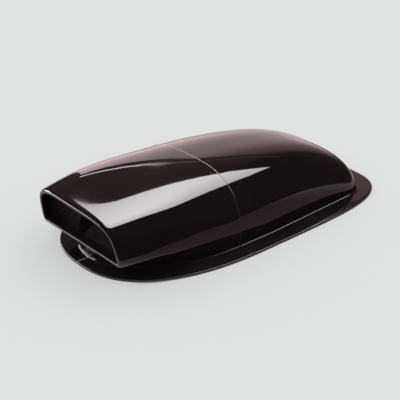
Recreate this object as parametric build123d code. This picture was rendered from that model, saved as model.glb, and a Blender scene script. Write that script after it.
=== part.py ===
from build123d import *
import math
import os

# Bonnet scoop moulded in one piece: a domed body with a raised mouth, on a flat flange.
# Millimetres, +Z up. The mouth faces -Y. The origin is the middle of the flange's underside.

# Flange
flange_length = 530.0
flange_width = 297.6
flange_thickness = 4.0
flange_widest_run = 235.0
flange_front_power = 2.47
flange_rear_power = 4.5
flange_edge_round = 1.0

# Laminate
wall = 3.5
lip_thickness = 5.5
lip_depth = 18.0
lip_outer_round = 2.5
lip_inner_round = 1.5
foot_fillet = 4.0

# Mouth
mouth_setback = 9.0
mouth_width = 190.6
mouth_top_z = 95.0
lip_bottom_z = 30.0
corner_width = 7.0
corner_height = 9.0
mouth_rake = 0.17
rake_run = 80.0
mouth_power = 4.7

# Body
body_width = 244.0
widest_run = 194.0
side_taper = 0.04
crown_z = 111.3
crown_run = 188.0
crown_rise_power = 2.0
crown_power = 3.05
tail_setback = 28.0
tail_fall_power = 1.7
tail_drop_power = 2.8
tail_lag = 0.82
tail_power = 2.9
body_below = 12.0

# Chin, the upright wall under the mouth, and the keel that runs from the lip down to the flange
chin_setback = 19.4
chin_power = 2.12
chin_inside = 3.0
chin_overlap = 2.0
keel_front_run = 51.0
keel_rear_run = 181.0

# Flash left by the joints of the mould: one across the scoop, one at the front of the flange
flash_run = 197.0
flash_width = 1.2
flash_height = 0.5

# Fineness of the curves
FRONT_STATIONS = 9
REAR_STATIONS = 10
ARCH_POINTS = 25
CORNER_POINTS = 7
OUTLINE_POINTS = 25
FLARE_STEPS = 4
TOUCH = 0.01

# Places along the scoop, which follow from the sizes above
front_y = -flange_length / 2
rear_y = flange_length / 2
flange_widest_y = front_y + flange_widest_run
mouth_y = front_y + mouth_setback
chin_y = front_y + chin_setback
tail_y = rear_y - tail_setback
widest_y = mouth_y + widest_run
crown_y = mouth_y + crown_run
keel_front_y = mouth_y + keel_front_run
keel_rear_y = mouth_y + keel_rear_run
flash_y = mouth_y + flash_run


def ease(value, start, end):
    """Runs smoothly from 0 at start to 1 at end."""
    share = min(max((value - start) / (end - start), 0.0), 1.0)
    return share * share * (3.0 - 2.0 * share)


def quarter(angle, power):
    """Point of a unit superellipse in its first quarter."""
    cos = max(math.cos(angle), 0.0)
    sin = max(math.sin(angle), 0.0)
    return cos ** (2 / power), sin ** (2 / power)


def arch(half, power, count):
    """Half a superellipse: its x and its share of the height, from +half over the top to -half."""
    points = []
    for i in range(count):
        angle = math.pi * i / (count - 1)
        across, along = quarter(min(angle, math.pi - angle), power)
        side = 1 if angle <= math.pi / 2 else -1
        points.append((side * half * across, along))
    return points


def half_width(y):
    """Half of the body's width at its widest line."""
    if y < widest_y:
        share = (widest_y - y) / (widest_y - mouth_y)
        return body_width / 2 - (body_width - mouth_width) / 2 * share**2
    return body_width / 2 - side_taper * (y - widest_y)


def waist(y):
    """Height of the widest line: at the mouth's lower corner, then down to below the flange."""
    high = lip_bottom_z + corner_height
    low = corner_height - body_below
    return high + (low - high) * ease(y, keel_front_y, keel_rear_y)


def front_station(y):
    """Foot, top, half width and power of an upright section between the mouth and the crown."""
    share = (crown_y - y) / (crown_y - mouth_y)
    top = crown_z - (crown_z - mouth_top_z) * share**crown_rise_power
    power = crown_power + (mouth_power - crown_power) * share
    rake = mouth_rake * max(1 - (y - mouth_y) / rake_run, 0.0)
    foot = waist(y)
    y_foot = y - rake * (foot - lip_bottom_z)
    y_top = y - rake * (top - lip_bottom_z)
    return y_foot, foot, y_top, top, half_width(y), power


def rear_station(angle):
    """The same behind the crown, where the sections lean back until the last lies flat under the tail."""
    down, back = quarter(angle, 1.0)
    y_top = crown_y + (tail_y - crown_y) * back ** (1 / tail_fall_power)
    y_foot = crown_y + tail_lag * (y_top - crown_y)
    low = corner_height - body_below
    top = low + (crown_z - low) * down ** (1 / tail_drop_power)
    share = (y_top - crown_y) / (tail_y - crown_y)
    power = crown_power + (tail_power - crown_power) * share**2
    return y_foot, waist(y_foot), y_top, top, half_width(y_foot), power


def section(station, inset):
    """Wire round one section: an arch over the widest line, tight lower corners and a flat bottom."""
    y_foot, foot, y_top, top, half, power = station
    span = math.hypot(y_top - y_foot, top - foot)
    lean = (y_top - y_foot) / span
    rise = (top - foot) / span

    def place(x, up):
        return Vector(x, y_foot + lean * up, foot + rise * up)

    def curve(points):
        steps = [i / (len(points) - 1) for i in range(len(points))]
        return Edge.make_spline([place(x, up) for x, up in points], parameters=steps)

    over = [(x, (span - inset) * up) for x, up in arch(half - inset, power, ARCH_POINTS)]
    turn = corner_width**2 / (corner_width + inset)
    right = []
    for i in range(CORNER_POINTS):
        across, down = quarter(math.pi / 2 * i / (CORNER_POINTS - 1), 2.0)
        right.append((half - inset - turn + turn * across, (inset - corner_height) * down))
    left = [(-x, up) for x, up in right]
    bottom = Edge.make_line(place(*left[-1]), place(*right[-1]))
    return Wire([curve(over), curve(left), bottom, curve(right[::-1])])


def front_stations(first_y):
    """Places of the upright sections, behind first_y and in front of the crown."""
    places = [mouth_y + (crown_y - mouth_y) * i / FRONT_STATIONS for i in range(FRONT_STATIONS)]
    return [y for y in places if y >= first_y]


def rear_sections(inset):
    angles = [math.pi / 2 * i / REAR_STATIONS for i in range(REAR_STATIONS + 1)]
    return [section(rear_station(angle), inset) for angle in angles]


def body_outside(inset):
    """Outer skin as a solid, from the mouth's plane to below the flange at the tail."""
    sections = [section(front_station(y), inset) for y in front_stations(mouth_y)]
    return Solid.make_loft(sections + rear_sections(inset))


def body_inside():
    """Inner skin as a solid, with the thicker lip, carried on in front of the mouth."""
    middle = mouth_y + lip_depth / 2
    behind = mouth_y + lip_depth
    lip = section(front_station(mouth_y), lip_thickness)
    ahead = lip.moved(Location((0, -lip_depth, 0)))
    near = [section(front_station(middle), (lip_thickness + wall) / 2), section(front_station(behind), wall)]
    sections = [section(front_station(y), wall) for y in front_stations(behind + lip_depth / 2)]
    return Solid.make_loft([ahead, lip] + near + sections + rear_sections(wall))


def oval(half, middle_y, first_y, first_power, last_y, last_power):
    """Face inside two half superellipses that meet at the widest place."""
    halves = []
    for end_y, power in ((first_y, first_power), (last_y, last_power)):
        reach = end_y - middle_y
        points = [(x, middle_y + reach * along) for x, along in arch(half, power, OUTLINE_POINTS)]
        halves.append(Spline(*points, tangents=[(0, reach), (0, -reach)]))
    return make_face(halves).face()


def chin_plan(inset):
    """Plan of the chin, which runs on inside the body where the body is widest."""
    half = body_width / 2 - chin_inside
    return oval(half - inset, widest_y, chin_y + inset, chin_power, widest_y + half, chin_power)


def chin(inset, bottom, top):
    """Upright front wall."""
    return extrude(Pos(0, 0, bottom) * chin_plan(inset), top - bottom, dir=(0, 0, 1))


def chin_flare():
    """Rounded foot of the chin, which spreads onto the flange."""
    wires = []
    for i in range(FLARE_STEPS + 1):
        up, out = quarter(math.pi / 2 * i / FLARE_STEPS, 2.0)
        plan = chin_plan(-foot_fillet * (1 - out))
        wires.append(plan.outer_wire().moved(Location((0, 0, flange_thickness + foot_fillet * (1 - up)))))
    return Solid.make_loft(wires)


def flange(thickness):
    """Flat flange with a rounded front and a squarer rear."""
    plan = oval(flange_width / 2, flange_widest_y, front_y, flange_front_power, rear_y, flange_rear_power)
    return extrude(plan, thickness, dir=(0, 0, 1))


def flat_edges(solid, z):
    """Edges that lie flat at a height."""
    boxes = [(edge, edge.bounding_box()) for edge in solid.edges()]
    return [edge for edge, box in boxes if abs(box.min.Z - z) < TOUCH and abs(box.max.Z - z) < TOUCH]


def rim_edges(solid):
    """Upper edges of the flange's outline."""
    outer = flange_width / 2 - TOUCH
    return [edge for edge in flat_edges(solid, flange_thickness) if abs((edge @ 0).X) > outer]


def foot_edges(solid):
    """Curved edges where a wall stands on the flange."""
    rim = rim_edges(solid)
    return [edge for edge in flat_edges(solid, flange_thickness)
            if edge not in rim and edge.geom_type != GeomType.LINE]


def lip_face(solid):
    """Front face of the mouth."""
    flats = [face for face in solid.faces() if face.geom_type == GeomType.PLANE]
    return min(flats, key=lambda face: face.normal_at().Y)


def flash_lines(hollow):
    """Thin raised lines where the mould's pieces met, on the outer skin only."""
    raised = flange(flange_thickness + flash_height)
    skin = split(Part() + body_outside(-flash_height), Plane.XY, keep=Keep.TOP)
    across = Pos(0, flash_y, 0) * Box(flange_width * 2, flash_width, crown_z * 4)
    along = Pos(0, chin_y - flange_length / 2, 0) * Box(flash_width, flange_length, lip_bottom_z * 2)
    return [skin & across - hollow, raised & across - hollow, raised & along]


def scoop_shell():
    """The whole moulding: body and chin on the flange, hollowed from the mouth to the underside."""
    plate = flange(flange_thickness)
    skin = body_outside(0.0)
    skin = skin.fillet(lip_outer_round, lip_face(skin).edges())
    body = split(Part() + skin, Plane.XY, keep=Keep.TOP) + plate
    body = fillet(foot_edges(body), foot_fillet)
    chin_top = lip_bottom_z + wall + chin_overlap
    front = chin(0.0, 0.0, chin_top) + chin_flare()
    hollow = Part() + body_inside() + chin(wall, -body_below, chin_top)
    shell = body + front - hollow
    shell = fillet(lip_face(shell).inner_wires()[0].edges(), lip_inner_round)
    shell = fillet(rim_edges(shell), flange_edge_round)
    for line in flash_lines(hollow):
        shell = shell + line
    return shell


shell = scoop_shell()
os.makedirs("parts", exist_ok=True)
export_step(shell, "parts/scoop_shell.step")
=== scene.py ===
import math

import bmesh
import bpy
import numpy as np
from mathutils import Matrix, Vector


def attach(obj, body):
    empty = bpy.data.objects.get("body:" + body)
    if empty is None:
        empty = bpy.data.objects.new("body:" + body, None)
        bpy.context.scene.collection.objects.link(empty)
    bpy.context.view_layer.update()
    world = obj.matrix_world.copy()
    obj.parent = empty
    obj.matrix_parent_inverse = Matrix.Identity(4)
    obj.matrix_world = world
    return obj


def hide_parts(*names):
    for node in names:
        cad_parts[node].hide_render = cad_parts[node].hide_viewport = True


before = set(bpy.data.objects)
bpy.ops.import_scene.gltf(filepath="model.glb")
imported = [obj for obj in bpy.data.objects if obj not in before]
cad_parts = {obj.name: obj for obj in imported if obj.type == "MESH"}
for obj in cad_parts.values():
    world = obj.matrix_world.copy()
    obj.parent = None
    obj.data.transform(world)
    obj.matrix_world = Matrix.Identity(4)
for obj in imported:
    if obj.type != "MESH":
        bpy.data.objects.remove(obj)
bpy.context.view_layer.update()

# Bonnet scoop moulded in one piece. Sizes in millimetres, as in the part: +Z up, the mouth faces -Y, and the
# origin is the middle of the flange's underside.
MM = 0.001

# Flange
flange_length = 530.0
flange_width = 297.6
flange_thickness = 4.0
flange_widest_run = 235.0
flange_front_power = 2.47
flange_rear_power = 4.5
flange_edge_round = 0.9

# Laminate
wall = 3.5
lip_thickness = 5.5
lip_depth = 18.0
lip_outer_round = 2.5
lip_roll_depth = 7.0
lip_inner_round = 1.5
foot_fillet = 2.5

# Mouth
mouth_setback = 9.0
mouth_width = 190.6
mouth_top_z = 95.0
lip_bottom_z = 30.0
corner_width = 7.0
corner_height = 9.0
mouth_rake = 0.17
rake_run = 80.0
rake_ease = 0.5
mouth_power = 4.7

# Body
body_width = 244.0
widest_run = 194.0
side_taper = 0.04
crown_z = 111.3
crown_run = 188.0
crown_rise_power = 2.0
crown_power = 3.05
crown_ease = 0.2
tail_setback = 28.0
tail_fall_power = 1.7
tail_drop_power = 2.8
tail_lag = 0.82
tail_power = 2.9
body_below = 12.0

# Chin and keel
chin_setback = 19.4
chin_power = 2.12
chin_inside = 9.5
keel_front_run = 51.0
keel_rear_run = 166.0

# Lower lip, which stands askew: its corner on the -X side is further forward than the other, and rounder
lip_askew = 2.4
askew_run = 50.0
askew_pivot = 0.5
askew_from_z = 26.0
soft_corner = 4.0
soft_corner_z = 43.0
soft_corner_power = 6

# Lower side, tucked in under the widest place between the mouth and the middle
tuck_height = 36.0
tuck_slope = 0.0017
tuck_ease = 8.0
tuck_front_run = 41.0
tuck_full_run = 81.0
tuck_end_run = 256.0

# Lines left by the joints of the mould
flash_run = 197.0
flash_width = 1.2
flash_height = 0.5

# Places along the scoop
front_y = -flange_length / 2
rear_y = flange_length / 2
flange_widest_y = front_y + flange_widest_run
mouth_y = front_y + mouth_setback
chin_y = front_y + chin_setback
tail_y = rear_y - tail_setback
widest_y = mouth_y + widest_run
crown_y = mouth_y + crown_run
keel_front_y = mouth_y + keel_front_run
keel_rear_y = mouth_y + keel_rear_run
flash_y = mouth_y + flash_run
flash_foot_y = crown_y + tail_lag * (flash_y - crown_y)
tuck_front_y = mouth_y + tuck_front_run
tuck_full_y = mouth_y + tuck_full_run
tuck_end_y = mouth_y + tuck_end_run

# Fineness of the mesh
ARCH_STEPS = 112
CORNER_STEPS = 8
BOTTOM_STEPS = 18
FRONT_FROM = 10.5
FRONT_STEP = 3.0
INNER_STEP = 6.0
INNER_LIP_DEPTHS = [4.0, 8.0, 13.0]
REAR_STEPS = 84
LIP_STEPS = 8
UNDERCUT_STEPS = 6
CHIN_STEPS = 8
CHIN_POINTS = 721
ROUND_STEPS = 6
RING_STEPS = 5
OUTLINE_STEPS = 1600
FLASH_STEPS = 8
FLASH_MARGIN = 1.5
SHARP_ANGLE = math.radians(40)

# Columns in the middle of a section's bottom, as shares of its half, close enough for the front joint's line
JOINT_COLUMNS = [0.0, 0.0035, 0.0075, 0.0115]
NEXT_COLUMN = 0.04

# Lengths over which the flange's outward directions are evened out: at the fillet, across it and at its rim
FILLET_SPREAD = 5.0
RING_SPREAD = 40.0
RIM_SPREAD = 3.0

# How close points lie that are one point, in the mesh, at a cut and round the cut's loop
WELD = 1e-3
CUT_WELD = 1e-4
LOOP_WELD = 0.12


class Wire:
    """Socket that adds Math nodes when it is used in an expression."""

    def __init__(self, graph, socket):
        self.graph = graph
        self.socket = socket

    def math(self, operation, *values):
        """Math node that takes the socket first."""
        return self.graph.add("ShaderNodeMath", {"operation": operation}, dict(enumerate((self,) + values)))

    def turned(self, operation, first):
        """Math node that takes the socket second."""
        return self.graph.add("ShaderNodeMath", {"operation": operation}, {0: first, 1: self})

    def __add__(self, other):
        return self.math("ADD", other)

    def __sub__(self, other):
        return self.math("SUBTRACT", other)

    def __rsub__(self, other):
        return self.turned("SUBTRACT", other)

    def __mul__(self, other):
        return self.math("MULTIPLY", other)

    def __truediv__(self, other):
        return self.math("DIVIDE", other)

    def __rtruediv__(self, other):
        return self.turned("DIVIDE", other)

    def __pow__(self, other):
        return self.math("POWER", other)

    def __abs__(self):
        return self.math("ABSOLUTE")

    def __lt__(self, other):
        return self.math("LESS_THAN", other)

    __radd__ = __add__
    __rmul__ = __mul__

    def cos(self):
        return self.math("COSINE")

    def sin(self):
        return self.math("SINE")

    def at_least(self, low):
        return self.math("MAXIMUM", low)

    def softly_at_least(self, low, over):
        """The same, with the corner rounded off."""
        return self.math("SMOOTH_MAX", low, over)

    def between(self, low, high):
        """Runs smoothly from 0 at low to 1 at high, and stays there."""
        return self.graph.add("ShaderNodeMapRange", {"interpolation_type": "SMOOTHSTEP"},
                              {"Value": self, "From Min": low, "From Max": high})


class Graph:
    """Node tree of a shape, a finish or the room."""

    def __init__(self, tree):
        self.tree = tree
        tree.nodes.clear()

    def add(self, kind, settings=None, sockets=None, out=0):
        """Adds a node: its settings, then the values or links of its sockets. Gives one output."""
        node = self.tree.nodes.new(kind)
        for name, value in (settings or {}).items():
            if name == "stops":
                ramp = node.color_ramp.elements
                for _ in value[len(ramp):]:
                    ramp.new(1.0)
                for stop, (place, colour) in zip(ramp, value):
                    stop.position = place
                    stop.color = colour
            else:
                setattr(node, name, value)
        for name, value in (sockets or {}).items():
            if isinstance(value, Wire):
                self.tree.links.new(value.socket, node.inputs[name])
            else:
                node.inputs[name].default_value = value
        return Wire(self, node.outputs[out]) if node.outputs else None

    def blend(self, factor, first, second):
        """Mixes two colours."""
        return self.add("ShaderNodeMix", {"data_type": "RGBA"}, {0: factor, 6: first, 7: second}, out=2)

    def axis(self, place, name):
        """One coordinate of a place."""
        return self.add("ShaderNodeSeparateXYZ", {}, {0: place}, name)

    def along(self, place, direction):
        """How far a place lies in a direction."""
        kind = {"operation": "DOT_PRODUCT"}
        return self.add("ShaderNodeVectorMath", kind, {0: place, 1: direction}, "Value")


# The body's skin, drawn by a rule: superellipse sections that stand upright from the mouth to the crown
# and lean back behind it, until the last one lies flat under the tail.
SKIN_SIZES = {
    "Mouth place": mouth_y,
    "Mouth width": mouth_width,
    "Mouth top": mouth_top_z,
    "Lip bottom": lip_bottom_z,
    "Corner width": corner_width,
    "Corner height": corner_height,
    "Mouth rake": mouth_rake,
    "Rake run": rake_run,
    "Rake ease": rake_ease,
    "Mouth power": mouth_power,
    "Body width": body_width,
    "Widest place": widest_y,
    "Side taper": side_taper,
    "Crown height": crown_z,
    "Crown place": crown_y,
    "Crown rise power": crown_rise_power,
    "Crown power": crown_power,
    "Crown ease": crown_ease,
    "Tail place": tail_y,
    "Tail fall power": tail_fall_power,
    "Tail drop power": tail_drop_power,
    "Tail lag": tail_lag,
    "Tail power": tail_power,
    "Body below": body_below,
    "Keel front": keel_front_y,
    "Keel rear": keel_rear_y,
    "Tuck height": tuck_height,
    "Tuck slope": tuck_slope,
    "Tuck ease": tuck_ease,
    "Tuck front": tuck_front_y,
    "Tuck full": tuck_full_y,
    "Tuck end": tuck_end_y,
}


def skin_tree():
    """Node tree that carries the points of a flat sheet to their places on the skin or under it."""
    tree = bpy.data.node_groups.new("scoop_skin", "GeometryNodeTree")
    tree.interface.new_socket("Sheet", in_out="INPUT", socket_type="NodeSocketGeometry")
    for name in SKIN_SIZES:
        tree.interface.new_socket(name, in_out="INPUT", socket_type="NodeSocketFloat")
    tree.interface.new_socket("Finish", in_out="INPUT", socket_type="NodeSocketMaterial")
    tree.interface.new_socket("Skin", in_out="OUTPUT", socket_type="NodeSocketGeometry")
    graph = Graph(tree)
    given = tree.nodes.new("NodeGroupInput")
    size = {name: Wire(graph, given.outputs[name]) for name in list(SKIN_SIZES) + ["Sheet", "Finish"]}

    def mark(name):
        kind = {"data_type": "FLOAT"}
        return graph.add("GeometryNodeInputNamedAttribute", kind, {"Name": name}, "Attribute")

    def half_width(y):
        ahead = (size["Widest place"] - y).at_least(0.0) / (size["Widest place"] - size["Mouth place"])
        behind = (y - size["Widest place"]).at_least(0.0)
        flare = (size["Body width"] - size["Mouth width"]) * 0.5 * ahead**2.0
        return size["Body width"] * 0.5 - flare - size["Side taper"] * behind

    low = size["Corner height"] - size["Body below"]
    high = size["Corner height"] + size["Lip bottom"]

    def waist(y):
        return high + (low - high) * y.between(size["Keel front"], size["Keel rear"])

    along = mark("along")
    inset = mark("inset")
    around = mark("around")
    across = mark("across")

    # Upright sections in front of the crown
    front_share = (size["Crown place"] - along) / (size["Crown place"] - size["Mouth place"])
    ahead = front_share.at_least(0.0)
    squarer_share = front_share.softly_at_least(0.0, size["Crown ease"])
    squarer = (size["Mouth power"] - size["Crown power"]) * squarer_share
    raked = 1.0 - (along - size["Mouth place"]) / size["Rake run"]
    rake = size["Mouth rake"] * raked.softly_at_least(0.0, size["Rake ease"])
    drop = (size["Crown height"] - size["Mouth top"]) * ahead ** size["Crown rise power"]
    front_top = size["Crown height"] - drop
    front_foot = waist(along)
    front = {
        "foot_y": along - rake * (front_foot - size["Lip bottom"]),
        "foot_z": front_foot,
        "top_y": along - rake * (front_top - size["Lip bottom"]),
        "top_z": front_top,
        "half": half_width(along),
        "power": size["Crown power"] + squarer,
    }

    # Leaning sections behind it
    behind = (along - size["Crown place"]).at_least(0.0) / (size["Tail place"] - size["Crown place"])
    down = (1.0 - behind ** size["Tail fall power"]).at_least(0.0)
    rear_foot_y = size["Crown place"] + size["Tail lag"] * (along - size["Crown place"])
    rear = {
        "foot_y": rear_foot_y,
        "foot_z": waist(rear_foot_y),
        "top_y": along,
        "top_z": low + (size["Crown height"] - low) * down ** (1.0 / size["Tail drop power"]),
        "half": half_width(rear_foot_y),
        "power": size["Crown power"] + squarer + (size["Tail power"] - size["Crown power"]) * behind**2.0,
    }

    upright = along < size["Crown place"]
    at = {name: rear[name] + upright * (front[name] - rear[name]) for name in rear}
    lean = at["top_y"] - at["foot_y"]
    rise = at["top_z"] - at["foot_z"]
    span = (lean**2.0 + rise**2.0) ** 0.5

    # Point of the section: on the arch over the widest line, or on the lower corner and the flat bottom
    cos = around.cos()
    sin = around.sin()
    power = at["power"]
    least_reach = 0.5
    reach = ((abs(cos) ** power + sin.at_least(0.0) ** power) ** (1.0 / power)).at_least(least_reach)
    turn = size["Corner width"] ** 2.0 / (size["Corner width"] + inset.at_least(0.0))
    arch_x = (at["half"] - inset) * cos / reach
    arch_up = (span - inset) * sin / reach
    corner_x = (at["half"] - inset - turn + turn * abs(cos)) * across
    corner_up = (size["Corner height"] - inset) * sin
    under = sin < 0.0
    x = arch_x + under * (corner_x - arch_x)
    up = arch_up + under * (corner_up - arch_up)
    y = at["foot_y"] + lean / span * up
    z = at["foot_z"] + rise / span * up

    # The lower side slopes inwards, less and less towards the middle of the scoop
    before_end = (size["Tuck end"] - y).at_least(0.0)
    slope = size["Tuck slope"] * before_end * y.between(size["Tuck front"], size["Tuck full"])
    tuck = slope * (size["Tuck height"] - z).softly_at_least(0.0, size["Tuck ease"])
    place = graph.add("ShaderNodeCombineXYZ", {}, {0: x * (1.0 - tuck / at["half"]), 1: y, 2: z})
    skin = graph.add("GeometryNodeSetPosition", {}, {"Geometry": size["Sheet"], "Position": place})
    skin = graph.add("GeometryNodeRealizeInstances", {}, {"Geometry": skin})
    skin = graph.add("GeometryNodeSetMaterial", {}, {"Geometry": skin, "Material": size["Finish"]})
    graph.add("NodeGroupOutput", {}, {"Skin": skin})
    return tree


def section_columns():
    """Angle and side of each point round a section, from the middle of its flat bottom."""
    wider = np.linspace(NEXT_COLUMN, 1.0, BOTTOM_STEPS - len(JOINT_COLUMNS) + 1)[:-1]
    flat = np.concatenate([JOINT_COLUMNS, wider])
    bend = -math.pi / 2 * (1 - np.arange(CORNER_STEPS) / CORNER_STEPS)
    arch = math.pi * np.arange(ARCH_STEPS + 1) / ARCH_STEPS
    around = np.concatenate([np.full(BOTTOM_STEPS, -math.pi / 2), bend, arch])
    across = np.concatenate([flat, np.ones(CORNER_STEPS), np.where(arch < math.pi / 2, 1.0, -1.0)])
    other = np.concatenate([math.pi - bend[::-1], np.full(BOTTOM_STEPS - 1, 3 * math.pi / 2)])
    other_across = np.concatenate([-np.ones(CORNER_STEPS), -flat[:0:-1]])
    return np.concatenate([around, other]), np.concatenate([across, other_across])


# Columns of a section without its flat bottom: from one lower corner over the arch to the other
FIRST = BOTTOM_STEPS
LAST = BOTTOM_STEPS + 2 * CORNER_STEPS + ARCH_STEPS + 1


def skin_sections(tree, finish, rows):
    """Points of whole sections, one for each place along the skin and depth under it."""
    around, across = section_columns()
    wide = len(around)
    along, inset = np.array(rows).T
    flat = [(i, j, 0.0) for j in range(len(rows)) for i in range(wide)]
    quads = [(j * wide + i, j * wide + i + 1, (j + 1) * wide + i + 1, (j + 1) * wide + i)
             for j in range(len(rows) - 1) for i in range(wide - 1)]
    sheet = bpy.data.meshes.new("flat_sheet")
    sheet.from_pydata(flat, [], quads)
    marks = {
        "along": np.repeat(along, wide),
        "inset": np.repeat(inset, wide),
        "around": np.tile(around, len(rows)),
        "across": np.tile(across, len(rows)),
    }
    for name, values in marks.items():
        sheet.attributes.new(name, "FLOAT", "POINT").data.foreach_set("value", values)
    piece = bpy.data.objects.new("flat_sheet", sheet)
    bpy.context.scene.collection.objects.link(piece)
    drape = piece.modifiers.new("scoop_skin", "NODES")
    drape.node_group = tree
    for socket in tree.interface.items_tree:
        if socket.name in SKIN_SIZES:
            drape[socket.identifier] = SKIN_SIZES[socket.name]
        elif socket.name == "Finish":
            drape[socket.identifier] = finish
    shaped = bpy.data.meshes.new_from_object(piece.evaluated_get(bpy.context.evaluated_depsgraph_get()))
    points = np.empty(len(shaped.vertices) * 3)
    shaped.vertices.foreach_get("co", points)
    bpy.data.objects.remove(piece)
    bpy.data.meshes.remove(shaped)
    bpy.data.meshes.remove(sheet)
    return points.reshape(len(rows), wide, 3)


def flash_rise(distance):
    """Height of a mould joint's line at a distance from its middle."""
    share = np.abs(distance) / (flash_width / 2)
    return flash_height * np.clip(1 - share**2, 0.0, None)


def tail_places(steps):
    """Places behind the crown, closer together at both ends."""
    angle = np.linspace(0.0, math.pi / 2, steps + 1)
    return crown_y + (tail_y - crown_y) * np.sin(angle) ** (2 / tail_fall_power)


def outer_rows():
    """Places and heights of the outer skin's sections, from the lip to below the flange."""
    lip = [lip_roll_depth, lip_roll_depth + FRONT_STEP / 2]
    depths = np.concatenate([lip, np.arange(FRONT_FROM, crown_run - FRONT_STEP / 2, FRONT_STEP)])
    shares = np.concatenate([[-FLASH_MARGIN], np.linspace(-1.0, 1.0, FLASH_STEPS + 1), [FLASH_MARGIN]])
    offsets = flash_width / 2 * shares
    places = [y for y in tail_places(REAR_STEPS) if abs(y - flash_y) > flash_width]
    places = sorted(places + list(flash_y + offsets))
    return [(mouth_y + depth, 0.0) for depth in depths] + [(y, -flash_rise(y - flash_y)) for y in places]


def inner_rows():
    """The same for the inner skin, which lies deeper at the lip."""
    lip = [lip_inner_round] + INNER_LIP_DEPTHS + [lip_depth]
    depths = np.concatenate([lip, np.arange(lip_depth + INNER_STEP, crown_run - INNER_STEP / 2, INNER_STEP)])
    behind = np.clip((depths - lip_inner_round) / (lip_depth - lip_inner_round), 0.0, 1.0)
    deep = lip_thickness + (wall - lip_thickness) * behind
    return list(zip(mouth_y + depths, deep)) + [(y, wall) for y in tail_places(REAR_STEPS // 2)]


def lip_rows():
    """The same for the lip, rolled in on the outside and rounded over on the inside."""
    rows = []
    for angle in np.linspace(0.0, math.pi / 2, LIP_STEPS + 1):
        depth = lip_roll_depth * (1 - math.sin(angle))
        rows.append((mouth_y + depth, lip_outer_round * (1 - math.cos(angle))))
    face_end = lip_thickness - lip_inner_round
    for angle in np.linspace(0.0, math.pi / 2, ROUND_STEPS + 1):
        depth = lip_inner_round * (1 - math.cos(angle))
        rows.append((mouth_y + depth, face_end + lip_inner_round * math.sin(angle)))
    return rows


class Sheet:
    """Points and faces, gathered patch by patch."""

    def __init__(self):
        self.points = []
        self.faces = []
        self.count = 0

    def patch(self, points, faces):
        self.points.append(points)
        self.faces += [tuple(i + self.count for i in face) for face in faces]
        self.count += len(points)

    def grid(self, rows, closed=False):
        """Quads between rows of points that are all as long."""
        wide = len(rows[0])
        faces = []
        for j in range(len(rows) - 1):
            for i in range(wide if closed else wide - 1):
                k = (i + 1) % wide
                faces.append((j * wide + i, j * wide + k, (j + 1) * wide + k, (j + 1) * wide + i))
        self.patch(np.concatenate(rows), faces)

    def mesh(self):
        """Welded mesh of all the patches."""
        bm = bmesh.new()
        verts = [bm.verts.new(point) for point in np.concatenate(self.points)]
        for face in self.faces:
            bm.faces.new([verts[i] for i in face])
        bmesh.ops.remove_doubles(bm, verts=bm.verts, dist=WELD)
        return bm


def quarter(angle, power):
    """Points of a unit superellipse in the direction of an angle."""
    cos = np.cos(angle)
    sin = np.clip(np.sin(angle), 0.0, None)
    size = (np.abs(cos) ** power + sin**power) ** (1 / power)
    return cos / size, sin / size


def by_length(points, shares):
    """Points spread along a line by shares of its length."""
    steps = np.linalg.norm(np.diff(points, axis=0), axis=1)
    length = np.concatenate([[0.0], np.cumsum(steps)])
    places = np.asarray(shares) * length[-1]
    return np.stack([np.interp(places, length, column) for column in points.T], axis=1)


def chin_and_undercut(sheet, lip_ring, sections, inset):
    """Underside between the lip's lower edge and the chin, and the chin's upright wall, on both sides."""
    side = sections[:, FIRST]
    side = side[side[:, 1] < widest_y]
    half = body_width / 2 - chin_inside - inset
    across, along = quarter(np.linspace(math.pi / 2, 0.0, CHIN_POINTS), chin_power)
    chin = np.stack([half * across, widest_y + (chin_y + inset - widest_y) * along], axis=1)
    chin = chin[np.interp(chin[:, 1], side[:, 1], side[:, 0]) > chin[:, 0]]
    edge = np.concatenate([lip_ring[: FIRST + 1], side[side[:, 1] < chin[-1, 1]]])
    edge = edge[np.concatenate([[True], np.linalg.norm(np.diff(edge, axis=0), axis=1) > WELD])]
    run = np.concatenate([[0.0], np.cumsum(np.linalg.norm(np.diff(edge, axis=0), axis=1))])
    mate = by_length(chin, run / run[-1])
    lift = edge[:, 2] - np.interp(edge[:, 1], side[:, 1], side[:, 2])
    under = []
    for share in np.linspace(0.0, 1.0, UNDERCUT_STEPS + 1):
        plan = edge[:, :2] * (1 - share) + mate * share
        z = np.interp(plan[:, 1], side[:, 1], side[:, 2]) + lift * (1 - share)
        under.append(np.column_stack([plan, z]))
    top = under[-1]
    wall_rows = []
    for share in np.linspace(0.0, 1.0, CHIN_STEPS + 1):
        wall_rows.append(np.column_stack([top[:, :2], top[:, 2] * (1 - share) - body_below * share]))
    other_side = np.array([-1.0, 1.0, 1.0])
    for patch in (under, wall_rows):
        sheet.grid(patch)
        sheet.grid([row[::-1] * other_side for row in patch])


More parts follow.
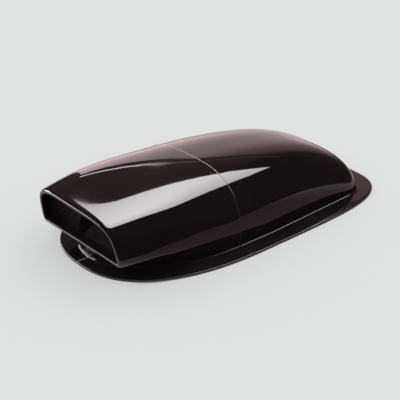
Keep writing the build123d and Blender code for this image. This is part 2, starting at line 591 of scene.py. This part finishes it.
def cut_level(sheet, height):
    """Points and faces of a sheet above a height, and the loop round its lower edge, anticlockwise."""
    bm = sheet.mesh()
    bmesh.ops.bisect_plane(bm, geom=bm.verts[:] + bm.edges[:] + bm.faces[:], dist=CUT_WELD,
                           plane_co=(0, 0, height), plane_no=(0, 0, 1), clear_inner=True)
    low = [vert for vert in bm.verts if abs(vert.co.z - height) < WELD]
    bmesh.ops.remove_doubles(bm, verts=low, dist=LOOP_WELD)
    bm.verts.index_update()
    beside = {}
    for edge in bm.edges:
        first, second = edge.verts
        if edge.is_boundary and max(abs(vert.co.z - height) for vert in edge.verts) < WELD:
            beside.setdefault(first.index, []).append(second.index)
            beside.setdefault(second.index, []).append(first.index)
    loop = [next(iter(beside))]
    step = beside[loop[0]][0]
    while step != loop[0]:
        loop.append(step)
        step = next(i for i in beside[step] if i != loop[-2])
    points = np.array([vert.co[:] for vert in bm.verts])
    faces = [tuple(vert.index for vert in face.verts) for face in bm.faces]
    bm.free()
    x, y = points[loop, 0], points[loop, 1]
    if np.sum(x * np.roll(y, -1) - np.roll(x, -1) * y) < 0:
        loop = loop[::-1]
    return points, faces, loop


def outward(points, spread):
    """Level outward directions round a loop of points, evened out over a length."""
    tangent = np.roll(points, -1, axis=0) - np.roll(points, 1, axis=0)
    normal = np.stack([tangent[:, 1], -tangent[:, 0]], axis=1)
    normal /= np.linalg.norm(normal, axis=1)[:, None]
    step = np.linalg.norm(np.roll(points, -1, axis=0) - points, axis=1)
    place = np.concatenate([[0.0], np.cumsum(step)])[:-1]
    apart = np.abs(place[:, None] - place[None, :])
    apart = np.minimum(apart, step.sum() - apart)
    even = (np.exp(-0.5 * (apart / spread) ** 2) * (step + np.roll(step, 1))) @ normal
    return even / np.linalg.norm(even, axis=1)[:, None]


def flange_outline():
    """Edge of the flange in plan, anticlockwise from its widest place."""
    angle = np.linspace(0.0, math.pi, OUTLINE_STEPS // 2, endpoint=False)
    half = flange_width / 2
    ends = []
    for reach, end_y, power in ((half, rear_y, flange_rear_power), (-half, front_y, flange_front_power)):
        x, up = quarter(angle, power)
        ends.append(np.stack([reach * x, flange_widest_y + (end_y - flange_widest_y) * up], axis=1))
    return np.concatenate(ends)


def reach_outline(points, ways, outline):
    """Where a ray from each point meets the outline."""
    slack = 1e-9
    run = np.roll(outline, -1, axis=0) - outline
    found = []
    for point, way in zip(points, ways):
        cross = way[0] * run[:, 1] - way[1] * run[:, 0]
        gap = outline - point
        along = (gap[:, 0] * run[:, 1] - gap[:, 1] * run[:, 0]) / cross
        share = (gap[:, 0] * way[1] - gap[:, 1] * way[0]) / cross
        hit = (along > 0) & (share >= -slack) & (share <= 1 + slack)
        found.append(point + way * along[hit].min())
    return np.array(found)


def joint_height(points):
    """Height of the mould joints' lines at points of the flange: one across it, one at its front."""
    across = flash_rise(points[:, 1] - flash_foot_y)
    ahead = flash_rise(points[:, 0]) * (points[:, 1] < chin_y)
    return np.maximum(across, ahead)


def flange_rows(foot):
    """Rows of points from the body's foot out over the flange, round its edge and down to its underside."""
    plan = foot[:, :2]

    def level(points, z):
        return np.column_stack([points, np.full(len(points), z)])

    way = outward(plan, FILLET_SPREAD)
    rows = [foot]
    for angle in np.linspace(0.0, math.pi / 2, ROUND_STEPS + 1)[1:]:
        z = flange_thickness + foot_fillet * (1 - math.sin(angle))
        rows.append(level(plan + way * foot_fillet * (1 - math.cos(angle)), z))
    start = rows[-1][:, :2]
    rim = reach_outline(start, outward(plan, RING_SPREAD), flange_outline())
    rim_way = outward(rim, RIM_SPREAD)
    inner = rim - rim_way * flange_edge_round
    for share in np.linspace(0.0, 1.0, RING_STEPS + 1)[1:]:
        rows.append(level(start + (inner - start) * share, flange_thickness))
    for angle in np.linspace(0.0, math.pi / 2, ROUND_STEPS)[1:]:
        z = flange_thickness - flange_edge_round * (1 - math.cos(angle))
        rows.append(level(inner + rim_way * flange_edge_round * math.sin(angle), z))
    for row in rows[1:]:
        row[:, 2] += joint_height(row)
    return rows + [level(rim, flange_thickness / 2), level(rim, 0.0)]


def mark_surfaces(bm, inside_points):
    """Marks the bare inside and the lines of the mould joints on the mesh's points."""

    def key(point):
        return tuple(np.round(point, 2))

    inside = {key(point) for point in inside_points}
    bare = bm.verts.layers.float.new("bare_laminate")
    joint = bm.verts.layers.float.new("mould_joint")
    front_joint = bm.verts.layers.float.new("front_joint")
    slope = (1 - tail_lag) * (flash_y - crown_y) / (crown_z - corner_height + body_below)
    for vert in bm.verts:
        x, y, z = vert.co
        vert[bare] = float(z < WELD or key(vert.co) in inside)
        behind = y - flash_foot_y - slope * (z - corner_height + body_below)
        vert[joint] = flash_rise(behind) / flash_height
        at_front = y < chin_y and 0.0 < z < flange_thickness + foot_fillet
        vert[front_joint] = flash_rise(x) / flash_height * float(at_front)


def set_lip_askew(bm):
    """Moves the points near the mouth along the scoop, and those of one lower corner in, most at the lip."""

    def share(value):
        return np.clip(value, 0.0, 1.0)

    for vert in bm.verts:
        x, y, z = vert.co
        side = 2 * x / mouth_width
        below = share((z - askew_from_z) / (lip_bottom_z - askew_from_z))
        above = share((mouth_top_z - z) / (mouth_top_z - lip_bottom_z))
        ahead = share(1.0 - (y - mouth_y) / askew_run) ** 2
        low = share((soft_corner_z - z) / (soft_corner_z - lip_bottom_z)) ** 2
        vert.co.x += soft_corner * share(-side) ** soft_corner_power * low * below * ahead
        vert.co.y += lip_askew * (side - askew_pivot) * min(below, above) * ahead


def build_shell(finish):
    """The whole moulding as one closed mesh, in metres."""
    tree = skin_tree()
    plans = [outer_rows(), lip_rows(), inner_rows()]
    sections = skin_sections(tree, finish, sum(plans, []))
    outer_rings, lip_rings, inner_rings = np.split(sections, np.cumsum([len(plan) for plan in plans])[:-1])
    outer = Sheet()
    outer.grid(list(outer_rings[:, FIRST:LAST]))
    chin_and_undercut(outer, outer_rings[0], outer_rings, 0.0)
    points, faces, loop = cut_level(outer, flange_thickness + foot_fillet)
    inner = Sheet()
    inner.grid(list(inner_rings[:, FIRST:LAST]))
    chin_and_undercut(inner, inner_rings[0], inner_rings, wall)
    inner_points, inner_faces, _ = cut_level(inner, 0.0)
    shell = Sheet()
    shell.patch(points, faces)
    shell.grid(flange_rows(points[loop]), closed=True)
    shell.grid(list(lip_rings), closed=True)
    bare_from = shell.count
    shell.patch(inner_points, inner_faces)
    inside_points = np.concatenate(shell.points)[bare_from:]
    bm = shell.mesh()
    rims = [edge for edge in bm.edges if edge.is_boundary]
    bmesh.ops.triangle_fill(bm, edges=rims, use_beauty=True, normal=(0, 0, -1))
    bmesh.ops.recalc_face_normals(bm, faces=bm.faces)
    mark_surfaces(bm, inside_points)
    set_lip_askew(bm)
    bmesh.ops.scale(bm, vec=(MM, MM, MM), verts=bm.verts)
    mesh = bpy.data.meshes.new("scoop_skin")
    bm.to_mesh(mesh)
    bm.free()
    mesh.shade_smooth()
    mesh.set_sharp_from_angle(angle=SHARP_ANGLE)
    mesh.materials.append(finish)
    return mesh


def rgb(red, green, blue):
    """Solid colour of a socket."""
    return (red, green, blue, 1.0)


def new_finish(name):
    """New material and its empty node tree."""
    material = bpy.data.materials.new(name)
    material.use_nodes = True
    return material, Graph(material.node_tree)


# Colours of the gel coat, of what lies on it, of painted light on it, and of the bare laminate, which is
# painted darker near the lip for the shade inside the mouth
COAT_DARK = rgb(0.0050, 0.0035, 0.0039)
COAT_PALE = rgb(0.0062, 0.0045, 0.0049)
# Pale specks of dust, and painted light on the flange's top
DUST_AND_FLANGE_LIGHT = rgb(0.20, 0.165, 0.17)
# Paler sanded joint, and the painted highlight along the joint's line
RUBBED_JOINT_AND_HIGHLIGHT = rgb(0.30, 0.28, 0.285)
TRIMMED_JOINT = rgb(0.42, 0.44, 0.25)
# Bare laminate near the lip, painted near-black for the shade inside the mouth
SHADED_LAMINATE_DARK = rgb(0.004, 0.0030, 0.0033)
SHADED_LAMINATE_PALE = rgb(0.009, 0.0066, 0.0071)
LAMINATE_DARK = rgb(0.11, 0.083, 0.088)
LAMINATE_PALE = rgb(0.23, 0.176, 0.187)
COAT_ROUGHNESS = 0.030
BARE_ROUGHNESS = 0.35
GEL_IOR = 1.5
RELIEF_STRENGTH = 0.25
RELIEF_DEPTH = 0.0006
PEEL_SHARE = 0.02

# Patterns of the gel coat and the laminate, in repeats to the metre
CLOUD_SCALE = 9.0
SPECK_SCALE = 900.0
STRAND_SCALE = 420.0
FINE_PEEL_SCALE = 160.0
COARSE_PEEL_SCALE = 38.0

# Where a finish begins to change and where the change ends, in metres: heights, and places along the scoop
# Heights over which the painted light on the flange's top fades out
FLANGE_LIGHT_Z = (0.004, 0.007)
# Heights over which the painted highlight on the joint's line grows to full
JOINT_HIGHLIGHT_Z = (0.070, 0.105)
# Places along the scoop where the painted shade of the laminate near the lip gives way to its plain colour
MOUTH_SHADE_Y = (-0.25, -0.19)


def gelcoat_finish():
    """Near-black gel coat with a red cast, a little orange peel and pale specks, painted light on the
    flange's top, and bare laminate on the inside, painted near-black near the lip for the shade in the mouth.

    It is paler where the joints of the mould were sanded down or trimmed, and a painted highlight runs along
    the joint across the scoop, strongest on top.
    """
    material, graph = new_finish("black_gelcoat")
    place = graph.add("ShaderNodeTexCoord", out="Object")
    height = graph.axis(place, "Z")
    bare = graph.add("ShaderNodeAttribute", {"attribute_name": "bare_laminate"}, out="Fac")
    joint = graph.add("ShaderNodeAttribute", {"attribute_name": "mould_joint"}, out="Fac")
    front_joint = graph.add("ShaderNodeAttribute", {"attribute_name": "front_joint"}, out="Fac")

    def noise(scale, detail=2.0):
        return graph.add("ShaderNodeTexNoise", {}, {"Vector": place, "Scale": scale, "Detail": detail}, "Fac")

    cloud = noise(CLOUD_SCALE).between(0.35, 0.65)
    speck = noise(SPECK_SCALE, 3.0).between(0.66, 0.76)
    strands = noise(STRAND_SCALE, 4.0).between(0.42, 0.62)
    coat = graph.blend(cloud, COAT_DARK, COAT_PALE)
    # Painted light: the flange's top, below 7 mm, is made paler, standing in for the light that the body
    # keeps off it
    flange_light = (0.02 + 0.02 * cloud) * (1.0 - height.between(*FLANGE_LIGHT_Z))
    coat = graph.blend(speck * 0.05 + flange_light, coat, DUST_AND_FLANGE_LIGHT)
    # Painted highlight along the mould joint's line, strongest on top, over a faintly paler sanded joint
    rubbed_and_highlight = joint.between(0.0, 0.5) * (0.05 + 0.95 * height.between(*JOINT_HIGHLIGHT_Z))
    coat = graph.blend(rubbed_and_highlight, coat, RUBBED_JOINT_AND_HIGHLIGHT)
    trimmed = front_joint.between(0.0, 0.4)
    coat = graph.blend(trimmed, coat, TRIMMED_JOINT)
    # Painted shade: the bare laminate is near-black near the lip, for the shade inside the mouth, and paler
    # further back
    shaded_laminate = graph.blend(strands, SHADED_LAMINATE_DARK, SHADED_LAMINATE_PALE)
    plain_laminate = graph.blend(strands, LAMINATE_DARK, LAMINATE_PALE)
    laminate = graph.blend(graph.axis(place, "Y").between(*MOUTH_SHADE_Y), shaded_laminate, plain_laminate)
    colour = graph.blend(bare, coat, laminate)
    gloss = COAT_ROUGHNESS + 0.02 * cloud + 0.15 * speck + 0.25 * rubbed_and_highlight + 0.3 * trimmed
    rough = gloss + bare * (BARE_ROUGHNESS - gloss)
    peel = noise(FINE_PEEL_SCALE) * 0.35 + noise(COARSE_PEEL_SCALE) * 0.65
    relief = peel * (1.0 - bare) * PEEL_SHARE + strands * bare
    bump = graph.add("ShaderNodeBump", {}, {
        "Strength": RELIEF_STRENGTH, "Distance": RELIEF_DEPTH, "Height": relief,
    })
    skin = graph.add("ShaderNodeBsdfPrincipled", {}, {
        "Base Color": colour, "Roughness": rough, "IOR": GEL_IOR, "Normal": bump,
    })
    graph.add("ShaderNodeOutputMaterial", {}, {"Surface": skin})
    return material


gelcoat = gelcoat_finish()
shell = bpy.data.objects.new("scoop_skin", build_shell(gelcoat))
bpy.context.scene.collection.objects.link(shell)
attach(shell, "root")
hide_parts("scoop_shell")


# Stage, in metres and degrees. All but the floor show only in the gloss. The wall and the large lamps are so
# far off that only their directions count.
PALE = rgb(0.752, 0.768, 0.760)
WARM_WHITE = rgb(1.0, 0.95, 0.96)
WALL_WAY = -155.0
WALL_AWAY = 200.0
CEILING = 200.0
FRONT_AWAY = 4.0
CARPET_Z = 0.0004

# Floor: its tones in the gloss, and where they change, towards the wall and along it
FLOOR_Z = -0.0002
FLOOR_REACH = 40
FLOOR_NEAR = rgb(0.32, 0.21, 0.24)
FLOOR_BEYOND = rgb(0.08, 0.05, 0.055)
FLOOR_PINK = rgb(0.98, 0.82, 0.85)
BEYOND_AT = (0.33, 0.50)
TAIL_AT = (0.05, 0.25)
TAIL_SHARE = 0.5
PINK_AT = (-0.12, 0.08)
PLAIN_SHARE = 0.5

# Half width, half length and edge of the painted shade on the floor where the scoop covers it, dark in the
# gloss and on the paper
COVERED_HALF_WIDTH = 0.135
COVERED_HALF_LENGTH = 0.245
COVERED_EDGE = (0.9, 1.1)
PAINTED_SHADE_IN_GLOSS = rgb(0.012, 0.009, 0.010)
PAINTED_SHADE_PAPER = rgb(0.020, 0.0154, 0.0165)

# Top of the wall, from beside the mouth to beyond the tail: azimuth and elevation
WALL_TOP = [
    (-114, 19.8), (-116.9, 21.7), (-119, 23.6), (-121.2, 24.9), (-123.5, 25.8),
    (-125.8, 25.9), (-128, 25.1), (-133, 25), (-150, 28.3), (-178, 26),
]
WALL_TONES = [
    (0.00, rgb(0.025, 0.016, 0.017)),
    (0.10, rgb(0.035, 0.022, 0.024)),
    (0.22, rgb(0.15, 0.092, 0.10)),
    (0.375, rgb(0.21, 0.142, 0.154)),
    (0.54, rgb(0.41, 0.30, 0.31)),
    (0.71, rgb(0.67, 0.52, 0.53)),
    (0.96, rgb(1.0, 0.78, 0.80)),
]
WALL_STRENGTH = 2.4
TONES_LEAN = 0.35
TONES_START = -0.23
TONES_SPAN = 0.92

# Tube lamp over the wall: azimuth and elevation of its middle, and half its thickness
TUBE = [
    (-113.9, 23, 0.4), (-115.2, 24.3, 0.4), (-118.7, 27.2, 0.25), (-121.5, 28.1, 0.25), (-124.2, 27.7, 0.2),
    (-126.4, 26.7, 0.12), (-128.2, 26.7, 0.12), (-130.4, 27.6, 0.2), (-153, 31.7, 0.2), (-158, 30.9, 0.2),
]
TUBE_AT_TAIL = 0.5
TUBE_RISE = 0.6
TUBE_RISE_AT = (0.38, 0.50)
TUBE_AT_MOUTH = 5.5
TUBE_MOUTH_AT = (0.52, 0.72)

# Softbox under the ceiling: corners and brightest place, as shares of the ceiling's height
SOFTBOX = [
    (0.03, 0.2), (0.12, 0.44), (0.2, 0.61), (0.215, 0.87), (0.15, 1.02), (-0.04, 1.2),
    (-0.13, 1.085), (-0.26, 0.965), (-0.45, 0.86), (-0.68, 0.828), (-0.88, 0.78), (-1.11, 0.703),
    (-1.167, 0.669), (-1.21, 0.622), (-1.318, 0.577), (-1.37, 0.54), (-0.73, 0.225), (-0.2, -0.05),
]
SOFTBOX_MIDDLE = (-0.3 * CEILING, 0.35 * CEILING, CEILING)
SOFTBOX_WHITE = rgb(1.0, 0.975, 0.98)
SOFTBOX_MOST = 13.6
SOFTBOX_LEAST = 2.0
SOFTBOX_FALL = 7.7

# Front lamp, low on the side of the mouth: azimuth and elevation
FRONT_LAMP = [(-85, 8), (-30, 8), (-30, 26), (-85, 26)]
FRONT_STRENGTH = 10.0

# Dark carpet in front of the scoop and beside it: corners on the floor
CARPET = [
    (-1.36, -2.8), (0.155, -0.254), (0.178, -0.195), (0.212, -0.126), (0.262, -0.05), (0.33, 0.051),
    (0.42, 0.25), (0.668, 0.683), (4.4, 6.9), (20, 6.9), (20, -20), (-1.36, -20),
]
CARPET_TONE = rgb(0.02, 0.015, 0.016)


def card(name, corners, finish, seen=False):
    """Flat stage card between its corners."""
    mesh = bpy.data.meshes.new(name)
    mesh.from_pydata(corners, [], [tuple(range(len(corners)))])
    mesh.materials.append(finish)
    piece = bpy.data.objects.new(name, mesh)
    bpy.context.scene.collection.objects.link(piece)
    piece.visible_camera = seen
    piece.visible_diffuse = seen
    piece.visible_shadow = seen
    piece.visible_transmission = seen


def way(azimuth, elevation):
    """Direction from the scoop: azimuth from the mouth's side, round towards +X."""
    a, e = math.radians(azimuth), math.radians(elevation)
    return Vector((math.sin(a) * math.cos(e), -math.cos(a) * math.cos(e), math.sin(e)))


WALL_FACING = way(WALL_WAY, 0)
WALL_ASIDE = way(WALL_WAY - 90.0, 0.0) * -1.0


def on_wall(azimuth, elevation):
    """Point of the wall in a direction."""
    ray = way(azimuth, elevation)
    return tuple(ray * (WALL_AWAY / ray.dot(WALL_FACING)))


def shine(graph, colour, strength=1.0):
    """Ends a finish in plain light."""
    light = graph.add("ShaderNodeEmission", {}, {"Color": colour, "Strength": strength})
    graph.add("ShaderNodeOutputMaterial", {}, {"Surface": light})


def glow(name, colour, strength=1.0):
    """Finish that shines evenly."""
    material, graph = new_finish(name)
    shine(graph, colour, strength)
    return material


def floor_finish():
    """Pale paper with the scoop's soft shadow, and painted shade where the scoop covers it. In the gloss it
    is pink and bright only on the far side.
    """
    material, graph = new_finish("paper")
    place = graph.add("ShaderNodeTexCoord", out="Object")
    far = graph.along(place, WALL_FACING)
    aside = graph.along(place, WALL_ASIDE)
    beyond = far.between(*BEYOND_AT)
    tail = far.between(*TAIL_AT) * (1.0 - beyond)
    near = graph.blend(beyond, FLOOR_NEAR, FLOOR_BEYOND)
    tone = graph.blend(aside.between(*PINK_AT).at_least(TAIL_SHARE * tail), near, FLOOR_PINK)
    # Painted shade: the paper is dark where the scoop covers it, in the gloss and to the eye
    across = graph.axis(place, "X") / COVERED_HALF_WIDTH
    along = graph.axis(place, "Y") / COVERED_HALF_LENGTH
    outside_painted_shade = (across**4.0 + along**4.0).between(*COVERED_EDGE)
    tone = graph.blend(outside_painted_shade, PAINTED_SHADE_IN_GLOSS, tone)
    paper = graph.blend(outside_painted_shade, PAINTED_SHADE_PAPER, PALE)
    matt = graph.add("ShaderNodeBsdfDiffuse", {}, {"Color": paper})
    flat = graph.add("ShaderNodeEmission", {}, {"Color": paper})
    eye = graph.add("ShaderNodeLightPath", out="Is Camera Ray")
    matt = graph.add("ShaderNodeMixShader", {}, {0: eye * PLAIN_SHARE, 1: matt, 2: flat})
    in_gloss = graph.add("ShaderNodeEmission", {}, {"Color": tone})
    glossy = graph.add("ShaderNodeLightPath", out="Is Glossy Ray")
    both = graph.add("ShaderNodeMixShader", {}, {0: glossy, 1: matt, 2: in_gloss})
    from_below = graph.add("ShaderNodeNewGeometry", out="Backfacing")
    clear = graph.add("ShaderNodeBsdfTransparent")
    paper_side = graph.add("ShaderNodeMixShader", {}, {0: from_below, 1: both, 2: clear})
    graph.add("ShaderNodeOutputMaterial", {}, {"Surface": paper_side})
    return material


def wall_finish():
    """Pink wall that is brightest at its end beside the mouth and fades towards the tail."""
    material, graph = new_finish("far_wall")
    place = graph.add("ShaderNodeTexCoord", out="Object")
    lean = TONES_LEAN * graph.axis(place, "Z")
    share = ((graph.along(place, WALL_ASIDE) - lean) / WALL_AWAY - TONES_START) / TONES_SPAN
    tone = graph.add("ShaderNodeValToRGB", {"stops": WALL_TONES}, {"Fac": share})
    shine(graph, tone, WALL_STRENGTH)
    return material


def softbox_finish():
    """Large soft lamp, brightest round its middle."""
    material, graph = new_finish("softbox")
    place = graph.add("ShaderNodeTexCoord", out="Object")
    kind = {"operation": "DISTANCE"}
    away = graph.add("ShaderNodeVectorMath", kind, {0: place, 1: SOFTBOX_MIDDLE}, "Value")
    strength = (SOFTBOX_MOST - SOFTBOX_FALL / CEILING * away).at_least(SOFTBOX_LEAST)
    shine(graph, SOFTBOX_WHITE, strength)
    return material


def tube_finish():
    """Thin lamp over the wall that dims towards the tail."""
    material, graph = new_finish("tube_lamp")
    place = graph.add("ShaderNodeTexCoord", out="Object")
    share = graph.along(place, WALL_ASIDE) / WALL_AWAY
    middle = TUBE_RISE * share.between(*TUBE_RISE_AT)
    mouth = TUBE_AT_MOUTH * share.between(*TUBE_MOUTH_AT)
    shine(graph, WARM_WHITE, TUBE_AT_TAIL + middle + mouth)
    return material


floor_corners = [(x * FLOOR_REACH, y * FLOOR_REACH, FLOOR_Z) for x, y in ((-1, -1), (1, -1), (1, 1), (-1, 1))]
card("floor", floor_corners, floor_finish(), seen=True)
card("dark_carpet", [(x, y, CARPET_Z) for x, y in CARPET], glow("dark_carpet", CARPET_TONE))
wall_foot = [on_wall(azimuth, 0) for azimuth, _ in (WALL_TOP[-1], WALL_TOP[0])]
card("far_wall", wall_foot + [on_wall(*corner) for corner in WALL_TOP], wall_finish())
low_edge = [on_wall(azimuth, middle - half) for azimuth, middle, half in TUBE]
high_edge = [on_wall(azimuth, middle + half) for azimuth, middle, half in TUBE]
card("tube_lamp", low_edge + high_edge[::-1], tube_finish())
front_corners = [tuple(way(*corner) * FRONT_AWAY) for corner in FRONT_LAMP]
card("front_lamp", front_corners, glow("front_lamp", WARM_WHITE, FRONT_STRENGTH))
card("softbox", [(x * CEILING, y * CEILING, CEILING) for x, y in SOFTBOX], softbox_finish())

# Room: even light, pale to the eye and dim in the gloss, a little paler over the tube lamp
PALER_WAY = (-122, 34)
PALER_AT = (0.85, 0.97)
ROOM_DIM = rgb(0.05, 0.03, 0.034)
ROOM_PALER = rgb(0.16, 0.10, 0.105)

room = bpy.data.worlds.new("room")
room.use_nodes = True
graph = Graph(room.node_tree)
looking = graph.add("ShaderNodeTexCoord", out="Generated")
toward = graph.along(looking, way(*PALER_WAY))
dim = graph.blend(toward.between(*PALER_AT), ROOM_DIM, ROOM_PALER)
pale = graph.add("ShaderNodeBackground", {}, {"Color": PALE})
light = graph.add("ShaderNodeBackground", {}, {"Color": rgb(1, 1, 1)})
dark = graph.add("ShaderNodeBackground", {}, {"Color": dim})
eye = graph.add("ShaderNodeLightPath", out="Is Camera Ray")
glossy = graph.add("ShaderNodeLightPath", out="Is Glossy Ray")
even = graph.add("ShaderNodeMixShader", {}, {0: eye, 1: light, 2: pale})
everywhere = graph.add("ShaderNodeMixShader", {}, {0: glossy, 1: even, 2: dark})
graph.add("ShaderNodeOutputWorld", {}, {"Surface": everywhere})
bpy.context.scene.world = room

# Camera
AZIMUTH = 49.11
ELEVATION = 27.6
DISTANCE = 1.4056
FOCAL_PIXELS = 878.08
IMAGE_SIZE = 400
MIDDLE = (217.67, 207.65)

camera_data = bpy.data.cameras.new("photo_camera")
camera_data.sensor_width = 36.0
camera_data.lens = FOCAL_PIXELS / IMAGE_SIZE * camera_data.sensor_width
camera_data.shift_x = -(MIDDLE[0] - IMAGE_SIZE / 2) / IMAGE_SIZE
camera_data.shift_y = (MIDDLE[1] - IMAGE_SIZE / 2) / IMAGE_SIZE
camera = bpy.data.objects.new("photo_camera", camera_data)
bpy.context.scene.collection.objects.link(camera)
back = way(AZIMUTH, ELEVATION)
camera.location = back * DISTANCE
camera.rotation_euler = back.to_track_quat("Z", "Y").to_euler()
bpy.context.scene.camera = camera

bpy.context.scene.view_settings.view_transform = "Standard"
